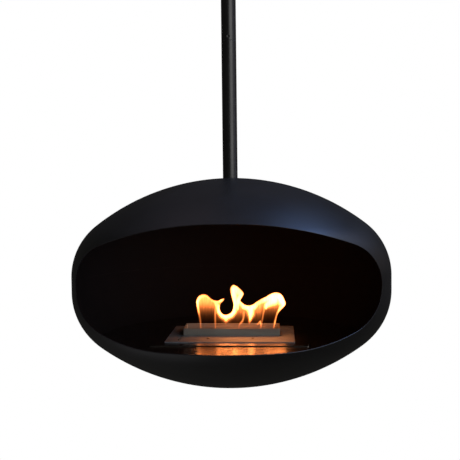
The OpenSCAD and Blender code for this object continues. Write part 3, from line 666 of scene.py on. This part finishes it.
shell_paint = spray_paint("satin shell paint", (0.0085, 0.0085, 0.0092), 0.40, 0.5, 0.05)
inner_paint = spray_paint("matt inner paint", (0.010, 0.010, 0.013), 0.8, 0.15, 0.0)
pole_paint = spray_paint("satin pole paint", (0.009, 0.009, 0.0095), 0.34, 1.0, 0.03)
hearth_black = blackened_plate("blackened hearth plate", (0.36, 0.34, 0.32), 0.21)
zinc_plate = plated("zinc plate", (0.56, 0.58, 0.60))
turned_steel = machined("turned steel", (0.52, 0.52, 0.53), (0.44, 0.42, 0.39))
turned_bronze = machined("turned bronze", (0.60, 0.36, 0.16), (0.42, 0.23, 0.11))
screw_steel = machined("screw steel", (0.26, 0.26, 0.27), (0.18, 0.17, 0.17))
brushed_across = brushed_stainless("stainless brushed across", (9.0, 1500.0), ALONG_X, 2.2,
                                   (0.51, 0.49, 0.435), 0.48)
brushed_along = brushed_stainless("stainless brushed along", (1500.0, 9.0), ALONG_Y, 0.8,
                                  (0.43, 0.50, 0.59), 0.66)
wool_fibre = ceramic_wool("ceramic wool")
burning_vapour = flame_light("burning vapour")


# ---------- Pieces ----------

def faced_out(mesh):
    """Turns a closed mesh the right way out, and drops loose points."""
    work = bmesh.new()
    work.from_mesh(mesh)
    bmesh.ops.delete(work, geom=[v for v in work.verts if not v.link_faces], context="VERTS")
    if work.calc_volume(signed=True) < 0:
        bmesh.ops.reverse_faces(work, faces=work.faces)
    work.to_mesh(mesh)
    work.free()


def smooth_by_angle(mesh, degrees):
    """Smooth shading, with sharp edges where faces meet at more than an angle."""
    mesh.polygons.foreach_set("use_smooth", [True] * len(mesh.polygons))
    mesh.set_sharp_from_angle(angle=math.radians(degrees))


def stands_for(mesh, node):
    """Makes a finished mesh into the piece that stands for a CAD node."""
    piece = placed("finished_" + node, mesh)
    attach(piece, body_of[node])
    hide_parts(node)


def eased(node, material, edge):
    """A CAD node with its sharp edges broken, as a maker's file or the paint leaves them."""
    work = bmesh.new()
    work.from_mesh(frame["nodes"][node].data)
    bmesh.ops.remove_doubles(work, verts=work.verts, dist=1e-6)
    flat = math.radians(0.4)
    bmesh.ops.dissolve_limit(work, angle_limit=flat, verts=work.verts, edges=work.edges)
    corners = [e for e in work.edges if e.is_manifold and e.calc_face_angle() > math.radians(35)]
    bmesh.ops.bevel(work, geom=corners, offset=edge, offset_type="OFFSET", segments=2, profile=0.5,
                    affect="EDGES", clamp_overlap=True)
    mesh = bpy.data.meshes.new("finished_" + node)
    work.to_mesh(mesh)
    work.free()
    mesh.materials.append(material)
    smooth_by_angle(mesh, 40)
    holder = placed("holder", mesh)
    holder.modifiers.new("even faces", "WEIGHTED_NORMAL").keep_sharp = True
    stands_for(plain_mesh(holder), node)


def edge_quarter(half_w, rise, flat, corner_r):
    """A quarter of the opening's edge from the middle out: straight, long arc and corner arc."""
    flat_steps, arc_steps, corner_steps = 8, 120, 60
    reach = half_w - corner_r - flat
    long_r = (reach ** 2 + rise ** 2 - corner_r ** 2) / (2 * (rise - corner_r))
    end = math.asin(reach / (long_r - corner_r))
    points = [(flat * i / flat_steps, rise) for i in range(flat_steps)]
    for i in range(arc_steps):
        angle = end * i / arc_steps
        points.append((flat + long_r * math.sin(angle), rise - long_r + long_r * math.cos(angle)))
    for i in range(corner_steps + 1):
        angle = end + (math.pi / 2 - end) * i / corner_steps
        points.append((half_w - corner_r + corner_r * math.sin(angle), corner_r * math.cos(angle)))
    return points


def opening_edge(sign):
    """The edge of the opening above (sign 1) or below (sign -1) the seam, anticlockwise from the front."""
    upper = [(x, opening_side_z + z) for x, z in edge_quarter(
        opening_half_w, opening_top - opening_side_z, upper_flat, upper_corner_r)]
    lower = [(x, opening_side_z - z) for x, z in edge_quarter(
        opening_half_w, opening_bottom + opening_side_z, lower_flat, lower_corner_r)]
    right = lower[:-1] + upper[::-1]
    loop = right + [(-x, z) for x, z in right[-2:0:-1]]
    if sign < 0:
        half = len(right)
        loop = loop[half:] + loop[:half]
    part = [(x, z) for x, z in loop if z * sign > 1e-9]
    at_seam = opening_half_w - lower_corner_r + math.sqrt(lower_corner_r ** 2 - opening_side_z ** 2)
    return [(x, 0.0, z) for x, z in [(sign * at_seam, 0.0), *part, (-sign * at_seam, 0.0)]]


def shell_head(node, sign):
    """One spun head of the shell, with the opening's rounded edge and a matt inside."""
    sizes = {"Shell Radius": shell_r, "Crown Radius": crown_r, "Knuckle Radius": knuckle_r,
             "Band Height": band_h, "Wall": shell_wall, "Rim Round": 0.5 * MM, "Lean": 0.7,
             "Middle": shell_z, "Columns": 212, "Rows": 100, "Material": shell_paint}
    steps = [(dished_head, sizes)]
    if sign > 0:
        hole = {"Radius": pole_hole_r, "Depth": 60 * MM, "Height": shell_high.z, "Material": shell_paint}
        steps.append((drilled, hole))
    mesh = made_by("finished_" + node, line_mesh(node + "_edge", opening_edge(sign)), steps)
    faced_out(mesh)
    mesh.materials.clear()
    mesh.materials.append(shell_paint)
    mesh.materials.append(inner_paint)
    middle = Vector((0, 0, shell_z))
    for face in mesh.polygons:
        face.material_index = int(face.normal.dot(face.center - middle) < -0.02 * MM)
    smooth_by_angle(mesh, 30)
    stands_for(mesh, node)


shell_head("shell_upper_head", 1)
shell_head("shell_lower_head", -1)

# Width of the broken edges of each node, in millimetres
for material, edges in (
        (pole_paint, {"canopy": 0.4, "upper_pole_tube": 0.2, "lower_pole_tube": 0.2}),
        (zinc_plate, {"ceiling_plate": 0.4, "pole_flange": 0.4, "crown_ring": 0.3}),
        (turned_steel, {"swivel_housing": 0.4, "damper_lever": 0.3}),
        (inner_paint, {"floor_brackets": 0.4}),
        (hearth_black, {"floor_plate": 0.3, "burner_frame": 0.5}),
        (brushed_along, {"burner_flange": 0.35, "fuel_tray": 0.3, "damper_rails": 0.2}),
        (brushed_across, {"burner_collar": 0.35, "tray_lid": 0.3, "damper_plate": 0.2})):
    for node, edge in edges.items():
        eased(node, material, edge * MM)

# CAD nodes whose shape is right, in their finished materials
for material, nodes in (
        (turned_steel, ("lower_bearing_race", "upper_bearing_race", "bearing_balls", "swivel_shaft",
                        "nut_lock_pin", "pole_spigot", "lever_rivets")),
        (turned_bronze, ("ball_cage", "guide_bush")),
        (zinc_plate, ("shaft_nut", "cross_bolt", "cross_bolt_nut"))):
    for node in nodes:
        for slot in frame["nodes"][node].material_slots:
            slot.material = material


# ---------- Fasteners ----------

def turned_profile(name, points):
    """The profile of a turned part, from (radius, height, flats) in millimetres."""
    mesh = line_mesh(name, [(r * MM, 0.0, z * MM) for r, z, _ in points])
    marks = mesh.attributes.new("flats", "FLOAT", "POINT")
    marks.data.foreach_set("value", [float(flats) for _, _, flats in points])
    return mesh


def fastener(node, profile, material, pattern, places, outward=False):
    """A turned fastener, copied to its places, standing for a CAD node.

    It faces out from the pole, or it is turned by chance where its places have a seed.
    """
    turn = (0.0, outward * math.pi / 2, 0.0)
    chance = ("Seed" in places) * 2 * math.pi
    mesh = made_by("finished_" + node, turned_profile(node + "_profile", profile), [
        (turned_part, {"Steps": 48, "Turn": turn, "Material": material}),
        (pattern, dict(places, Outward=float(outward), Loose=chance, Material=material))])
    faced_out(mesh)
    smooth_by_angle(mesh, 32)
    stands_for(mesh, node)


def hex_bolt(d, length):
    """A hexagon bolt that points up from z = 0, its chamfered head below."""
    shank = d / 2 - 0.05
    flat = 0.8 * d
    head = 0.65 * d
    return [(0, -head, 0), (0.93 * flat, -head, 0), (flat, -head + 0.1 * d, 1), (flat, -0.15, 1),
            (0.96 * flat, 0, 1), (shank, 0, 0), (shank, length - 0.5, 0), (shank - 0.5, length, 0),
            (0, length, 0)]


def ring(inner, lip, shoulder, outer, rise, height, flats=0):
    """A ring on z = 0, its edges broken by a lip inside and from the shoulder outside."""
    return [(inner, lip, 0), (inner + lip, 0, 0), (shoulder, 0, 0), (outer, rise, flats),
            (outer, height - rise, flats), (shoulder, height, 0), (inner + lip, height, 0),
            (inner, height - lip, 0), (inner, lip, 0)]


def socket_screw(head, socket, socket_depth, shank, length):
    """A screw that points down from z = 0: its head's outline, and a hexagon socket in the top."""
    top = head[-1][1]
    return ([(0, -length, 0), (shank - 0.4, -length, 0), (shank, -length + 0.4, 0)]
            + [(r, z, 0) for r, z in head]
            + [(socket + 0.2, top, 1), (socket, top - 0.2, 1), (socket, top - socket_depth, 1),
               (0, top - socket_depth - 0.3, 0)])


dome = [(2.45, 0.0), (4.3, 0.0), (4.5, 0.2)] + [
    (6.5 * math.cos(a), 6.5 * math.sin(a) - 4) for a in (math.radians(d) for d in range(46, 75, 4))]
sunk_head = [(2.45, -2.6), (4.75, -0.2), (4.9, -0.1), (4.75, 0.0)]
canopy_head = [(1.95, 0.0), (3.9, 0.05), (4.0, 0.3), (3.4, 1.5), (3.0, 1.85), (2.5, 2.0)]
joint_head = [(2.95, -2.0), (4.4, -2.0), (4.5, -1.9), (4.5, -0.15), (4.4, 0.0), (4.25, 0.0), (2.3, -1.15)]
quarter = math.pi / 4
joint_screw_z = sum(corner.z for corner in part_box("pole_joint_screws")) / 2
floor_screw_r = (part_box("floor_screws")[1].x - 4.95 * MM) * math.sqrt(2)
flange_ring = {"Count": 4, "Radius": 52 * MM, "Start": quarter, "Height": -816.1 * MM}
tray_corners = {"Half Width": 63 * MM, "Half Length": 78 * MM}

for node, profile, material, pattern, places in (
        ("housing_screws", hex_bolt(6, 12), zinc_plate, on_circle,
         {"Count": 4, "Radius": 42 * MM, "Height": -14 * MM, "Seed": 1}),
        ("flange_bolts", hex_bolt(8, 18.6), zinc_plate, on_circle, dict(flange_ring, Seed=2)),
        ("flange_washers", ring(4.3, 0.15, 7.8, 8, 0.2, 1.6), zinc_plate, on_circle, flange_ring),
        ("floor_screws", socket_screw(sunk_head, 1.5, 1.4, 2.45, 9.5), hearth_black, on_circle,
         {"Count": 4, "Radius": floor_screw_r, "Start": quarter, "Height": floor_high.z, "Seed": 3}),
        ("frame_nuts", ring(2.55, 0.3, 3.76, 4, 0.48, 4, flats=1), zinc_plate, at_corners,
         {"Half Width": 200 * MM, "Half Length": 149 * MM, "Height": floor_low.z - 4 * MM, "Seed": 4}),
        ("flange_screws", socket_screw(dome, 1.5, 1.3, 2.45, 15), screw_steel, at_corners,
         dict(tray_corners, Height=flange_high.z, Seed=5)),
        ("tray_spacers", ring(2.8, 0.15, 4.8, 5, 0.2, 6), turned_steel, at_corners,
         dict(tray_corners, Height=lid_high.z))):
    fastener(node, profile, material, pattern, places)

for node, profile, places in (
        ("canopy_screws", socket_screw(canopy_head, 1.2, 1.1, 1.95, 6),
         {"Count": 3, "Radius": canopy_high.x, "Start": math.pi / 2, "Height": -16 * MM}),
        ("pole_joint_screws", socket_screw(joint_head, 2.0, 1.3, 2.95, 7.6),
         {"Count": 2, "Radius": pole_r - 0.4 * MM, "Start": math.pi / 2, "Height": joint_screw_z})):
    fastener(node, profile, pole_paint, on_circle, places, outward=True)


# ---------- Ceramic wool ----------

def wool_block():
    """A packed block of ceramic fibre with a torn, uneven top."""
    work = bmesh.new()
    bmesh.ops.create_cube(work, size=1.0)
    bmesh.ops.subdivide_edges(work, edges=work.edges, cuts=47, use_grid_fill=True)
    centre = (wool_low + wool_high) / 2
    span = wool_high - wool_low
    fray, tear, deepest, side, corner_loss = 0.4 * MM, 1.6 * MM, 3.5 * MM, 0.3 * MM, 2.2 * MM
    for vertex in work.verts:
        place = Vector([centre[i] + vertex.co[i] * span[i] for i in range(3)])
        lump = noise.fractal(place * 90, 0.8, 2.1, 4)
        top = max(0.0, vertex.co.z * 2) ** 6
        pull = fray * (1 + lump) + top * tear * (1 + noise.noise(place * 45))
        place.z -= min(pull, deepest) * (1 if vertex.co.z > 0 else -0.2)
        corner = (abs(vertex.co.x * 2) * abs(vertex.co.y * 2)) ** 30
        for i in (0, 1):
            if abs(vertex.co[i]) > 0.49:
                place[i] -= math.copysign(side * (1 + lump) + corner * corner_loss, vertex.co[i])
        vertex.co = place
    mesh = bpy.data.meshes.new("finished_fuel_wool")
    work.to_mesh(mesh)
    work.free()
    mesh.materials.append(wool_fibre)
    smooth_by_angle(mesh, 60)
    stands_for(mesh, "fuel_wool")


wool_block()


# ---------- Flames ----------

# Outline of the flames, across and up from the level of the collar's top, in millimetres
FLAME_EDGE = (
    (-96, -22), (-97, -12), (-98, -5), (-99, 13), (-102, 41), (-105, 66), (-104, 78), (-98, 88), (-88, 93),
    (-77, 93), (-70, 90), (-63, 84), (-53, 78), (-40, 76), (-31, 80), (-22, 81), (-25, 73), (-32, 66),
    (-35, 54), (-31, 42), (-23, 35), (-13, 35), (-3, 40), (2, 50), (4, 64), (1, 78), (-2, 91), (-5, 107),
    (-2, 117), (5, 121), (14, 117), (25, 108), (32, 100), (35, 93), (31, 85), (25, 75), (28, 70),
    (38, 62), (50, 60), (61, 64), (73, 73), (85, 80), (98, 86), (112, 95), (125, 99), (137, 97),
    (147, 89), (154, 75), (157, 63), (150, 54), (139, 43), (132, 30), (128, 13), (124, -5), (121, -12),
    (119, -22))
# Bright tongues: across, up, half width and heat along each
FLAME_TONGUES = (
    ((-91, -26, 1.5, .5), (-93, 5, 1.6, .58), (-94, 20, 1.7, .62), (-96, 32, 2, .68), (-98, 41, 2.7, .82),
     (-100, 50, 3.4, .86), (-101, 60, 3.6, .92), (-101, 72, 4, .95), (-95, 84, 4.2, .9),
     (-80, 88, 4.4, .84), (-70, 84, 4.6, .82), (-59, 76, 5.2, .82), (-46, 72, 5.8, .86),
     (-32, 76, 4.6, .91), (-23, 80, 2.3, .9)),
    ((-46, 68, 5.8, .86), (-40, 58, 6, .92), (-37, 44, 5.8, .95), (-28, 33, 6.4, .95), (-17, 28, 7.4, .95),
     (-3, 32, 6.4, .95), (6, 43, 6.4, .95), (7, 60, 6.9, .95), (8, 76, 7.7, .95), (6, 91, 8.9, .95),
     (5, 109, 7.7, .95), (6, 117, 5, .9)),
    ((-17, 28, 8, .95), (-17, 20, 5, .86), (-17, 14, 3.2, .7), (-17, 8, 2.5, .5)),
    ((11, 109, 9.6, .93), (19, 99, 10.4, .92), (27, 93, 7.7, .93), (21, 79, 7.7, .95), (16, 66, 6.9, .95),
     (16, 52, 4.5, .9), (16, 46, 2.7, .8)),
    ((25, 68, 5, .92), (34, 56, 6.4, .93), (50, 52, 8, .95), (63, 56, 8, .95), (73, 66, 7, .9),
     (83, 71, 6, .88), (96, 77, 8.5, .93), (112, 85, 11.6, .96), (126, 89, 11.6, .96), (139, 85, 11.6, .98),
     (147, 71, 11, .98), (149, 61, 7.5, .95), (141, 52, 4.6, .92), (134, 40, 3, .84), (129, 24, 2.2, .8),
     (125, 9, 2, .8), (122, -4, 1.6, .66), (119, -26, 1.5, .45)),
    ((54, 48, 10, .95), (55, 36, 7.5, .95), (54, 27, 5, .93), (53, 20, 3.5, .86), (51, 14, 2.8, .74),
     (50, 8, 2.5, .55)),
    ((99, 55, 3.6, .93), (102, 62, 7, .95), (112, 71, 11, .96), (125, 77, 12.5, .96)),
    ((-46, 64, 3, .84), (-48, 48, 2.4, .76), (-49, 34, 1.9, .72), (-49, 23, 1.7, .68), (-49, 10, 1.5, .62),
     (-49, -4, 1.5, .58), (-49, -26, 1.5, .5)),
    ((34, 40, 4, .74), (34, 30, 3, .7), (33, 22, 2, .7), (30, 14, 1.8, .72), (24, 8, 1.8, .68),
     (20, 2, 1.5, .56), (18, -26, 1.5, .4)),
    ((96, 58, 4.2, .86), (93, 46, 2.8, .72), (91, 36, 2, .66), (89, 25, 1.7, .65), (87, 16, 1.6, .62),
     (85, 6, 1.6, .6), (83, -2, 1.5, .58), (83, -26, 1.3, .4)),
    ((74, 5, 1.3, .66), (78, 9, 1.5, .72), (82, 13, 1.6, .8), (84, 4, 1.6, .74), (84, -2, 1.4, .6)))
# Heat of the vapour between the tongues: by its height, and what the middle adds, across and up
BASE_HEAT = ((0, 9, 20, 32, 43, 55, 62, 70, 80), (0, .06, .2, .34, .5, .66, .73, .77, .8))
MIDDLE_ACROSS = ((-54, -42, 82, 92), (0, .2, .2, 0))
MIDDLE_UP = ((0, 9, 40, 70), (0, 1, 1, 0))
FLAME_STEP = 1.0
FLAME_START = (-106, -28)
FLAME_SPAN = (270, 150)
FLAME_RANGE = 3.7  # powers of ten between the brightest vapour and the darkest
DARK_RIM, RIM_FADE = 0.3, 2.2  # millimetres at the outline without glow, and where the glow comes up
TONGUE_CORE = 0.35  # share of a tongue's width that keeps its full heat
SHEET_BULGE = 2.2  # how fast the sheet thickens away from its outline
flame_z = shell_z - 135 * MM


def dense_line(points, step):
    """Points along a closed line, rounded by its neighbours, no further apart than a step."""
    count = len(points)
    dense = []
    for i in range(count):
        before, here, after, beyond = (Vector(points[(i + k - 1) % count]) for k in range(4))
        pieces = max(1, round((after - here).length / step))
        for j in range(pieces):
            t = j / pieces
            bend = (here * 2 + (after - before) * t + (before * 2 - here * 5 + after * 4 - beyond) * t ** 2
                    + (here * 3 - before - after * 3 + beyond) * t ** 3)
            dense.append(bend / 2)
    return dense


def tongue_heat(places, tongue):
    """Heat of one tongue at each place: full along its middle, gone past its width."""
    heat = np.zeros(len(places))
    for start, end in zip(tongue, tongue[1:]):
        first, way = np.array(start[:2]), np.array(end[:2]) - np.array(start[:2])
        along = np.clip((places - first) @ way / (way @ way), 0, 1)
        gap = np.linalg.norm(places - first - along[:, None] * way, axis=1)
        width = start[2] + (end[2] - start[2]) * along
        peak = start[3] + (end[3] - start[3]) * along
        heat = np.maximum(heat, peak * np.exp(-np.clip(gap / width - TONGUE_CORE, 0, None) ** 1.6 * 0.26))
    return heat


def flames():
    """One thin sheet of burning vapour, thicker in its middle, standing in the slit."""
    edge = dense_line(FLAME_EDGE, FLAME_STEP)
    near_edge = kdtree.KDTree(len(edge))
    for i, point in enumerate(edge):
        near_edge.insert((point.x, point.y, 0), i)
    near_edge.balance()
    inner = []
    row_step = FLAME_STEP * math.sqrt(3) / 2
    for j in range(int(FLAME_SPAN[1] / row_step)):
        for i in range(int(FLAME_SPAN[0] / FLAME_STEP)):
            point = Vector((FLAME_START[0] + (i + j % 2 / 2) * FLAME_STEP, FLAME_START[1] + j * row_step))
            if near_edge.find((point.x, point.y, 0))[2] > 0.6 * FLAME_STEP:
                inner.append(point)
    border = list(range(len(edge)))
    points, _, faces, *_ = geometry.delaunay_2d_cdt(edge + inner, [], [border], 1, 1e-4)
    places = np.array([tuple(point) for point in points])
    to_edge = np.array([near_edge.find((x, z, 0))[2] for x, z in places])
    to_edge[:len(edge)] = 0

    across, up = places.T
    heat = np.interp(up, *BASE_HEAT) + np.interp(across, *MIDDLE_ACROSS) * np.interp(up, *MIDDLE_UP)
    for tongue in FLAME_TONGUES:
        heat = np.maximum(heat, tongue_heat(places, tongue))
    glow = 10 ** (FLAME_RANGE * (heat - 1)) * np.clip((to_edge - DARK_RIM) / RIM_FADE, 0, 1) ** 1.6

    sway = 5 * np.sin(across * 0.045) + 3 * np.sin(across * 0.11 + up * 0.05)
    lift = np.interp(up, (-28, 30), (0.3, 1))
    half = SHEET_BULGE * np.sqrt(np.clip(to_edge, 0, 30)) * lift
    sides = []
    for side in (-1, 1):
        sides.append([(x * MM, slit_y + (s * l + side * h) * MM, flame_z + z * MM)
                      for (x, z), s, l, h in zip(places, sway, lift, half)])
    count = len(points)
    on_edge = to_edge < 1e-6
    back = [i if on_edge[i] else i + count for i in range(count)]
    mesh = bpy.data.meshes.new("flames")
    mesh.from_pydata(sides[0] + sides[1], [], [tuple(face) for face in faces]
                     + [tuple(back[i] for i in reversed(face)) for face in faces])
    attribute = mesh.attributes.new("glow", "FLOAT", "POINT")
    attribute.data.foreach_set("value", np.concatenate((glow, glow)).astype(np.float32))
    faced_out(mesh)
    mesh.materials.append(burning_vapour)
    smooth_by_angle(mesh, 180)
    piece = placed("flames", mesh)
    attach(piece, "burner")


flames()


# ---------- Studio ----------

WHITE = (1.0, 1.0, 1.0, 1.0)
# Soft lights round the room: the way to the middle of each, its radius in degrees and its radiance
SOFT_LIGHTS = (
    ((0.61, -0.77, 0.17), 32, (1.35, 1.34, 1.33)), ((0.67, -0.05, 0.74), 28, (1.55, 1.67, 2.00)),
    ((0.47, 0.26, 0.84), 14, (1.28, 2.40, 5.60)), ((0.72, 0.47, 0.50), 14, (0.47, 0.56, 0.90)),
    ((1.0, -0.04, 0.01), 14, (0.55, 0.53, 0.66)), ((-0.24, 0.12, 0.96), 28, (0.26, 0.22, 0.27)),
    ((-0.62, -0.20, -0.76), 38, (0.38, 0.38, 0.40)), ((0.78, 0.61, 0.17), 14, (0.15, 0.11, 0.08)),
    ((-0.02, 0.66, 0.75), 30, (0.05, 0.045, 0.055)))


def pick_surface(tree, end, share, first, second):
    """Ends a world's or a material's tree in one of two shaders."""
    pick = tree.nodes.new("ShaderNodeMixShader")
    for value, socket in zip((share, output(first), output(second)), pick.inputs):
        plug(value, socket)
    plug(output(pick), tree.nodes.new("ShaderNodeOutput" + end).inputs["Surface"])


def world_light():
    """White behind the object, and a dim room with soft lights for everything else."""
    world = bpy.data.worlds.new("studio")
    bpy.context.scene.world = world
    world.use_nodes = True
    tree = world.node_tree
    tree.nodes.clear()
    way = output(tree.nodes.new("ShaderNodeTexCoord"), "Generated")
    room = (0.031, 0.030, 0.028)
    for middle, radius, radiance in SOFT_LIGHTS:
        near = vectors(tree, "DOT_PRODUCT", way, Vector(middle).normalized(), result="Value")
        share = near.ramp(math.cos(math.radians(radius)), math.cos(math.radians(0.35 * radius)))
        room = vectors(tree, "MULTIPLY_ADD", share, radiance, room)
    seen = add_node(tree, "ShaderNodeBackground", Color=WHITE)
    unseen = add_node(tree, "ShaderNodeBackground", Color=room)
    by_camera = output(tree.nodes.new("ShaderNodeLightPath"), "Is Camera Ray")
    pick_surface(tree, "World", by_camera, unseen, seen)


def studio_floor():
    """Pale floor below the fireplace, that the camera sees as white and that shows nothing from below."""
    material = bpy.data.materials.new("pale floor")
    material.use_nodes = True
    tree = material.node_tree
    tree.nodes.clear()
    white = add_node(tree, "ShaderNodeEmission", Color=WHITE)
    clear = tree.nodes.new("ShaderNodeBsdfTransparent")
    from_below = output(tree.nodes.new("ShaderNodeNewGeometry"), "Backfacing")
    pick_surface(tree, "Material", from_below, white, clear)
    mesh = bpy.data.meshes.new("studio_floor")
    reach, height = 9.0, -2.6
    mesh.from_pydata([(-reach, -reach, height), (reach, -reach, height), (reach, reach, height),
                      (-reach, reach, height)], [], [(0, 1, 2, 3)])
    mesh.materials.append(material)
    piece = placed("studio_floor", mesh)
    piece.visible_diffuse = False
    piece.visible_glossy = False
    piece.visible_shadow = False


def photograph_camera():
    """The camera of the photograph: its place, aim and roll, from the shell's middle."""
    place = Vector((136.8, -2304.2, 266.1)) * MM + Vector((0, 0, shell_z))
    pan, pitch, roll = 0.0604, -0.0518, -0.0115
    focal_px, photo_px = 800, 460
    ahead = Vector((-math.sin(pan) * math.cos(pitch), math.cos(pan) * math.cos(pitch), math.sin(pitch)))
    right = ahead.cross(Vector((0, 0, 1))).normalized()
    up = right.cross(ahead)
    right, up = (right * math.cos(roll) + up * math.sin(roll), up * math.cos(roll) - right * math.sin(roll))
    data = bpy.data.cameras.new("photograph")
    data.sensor_fit = "HORIZONTAL"
    data.sensor_width = 36.0
    data.lens = focal_px / photo_px * data.sensor_width
    data.clip_end = 50.0
    camera = placed("photograph", data)
    camera.matrix_world = Matrix.Translation(place) @ Matrix((right, up, -ahead)).transposed().to_4x4()
    bpy.context.scene.camera = camera


world_light()
studio_floor()
photograph_camera()
bpy.context.scene.view_settings.view_transform = "Standard"
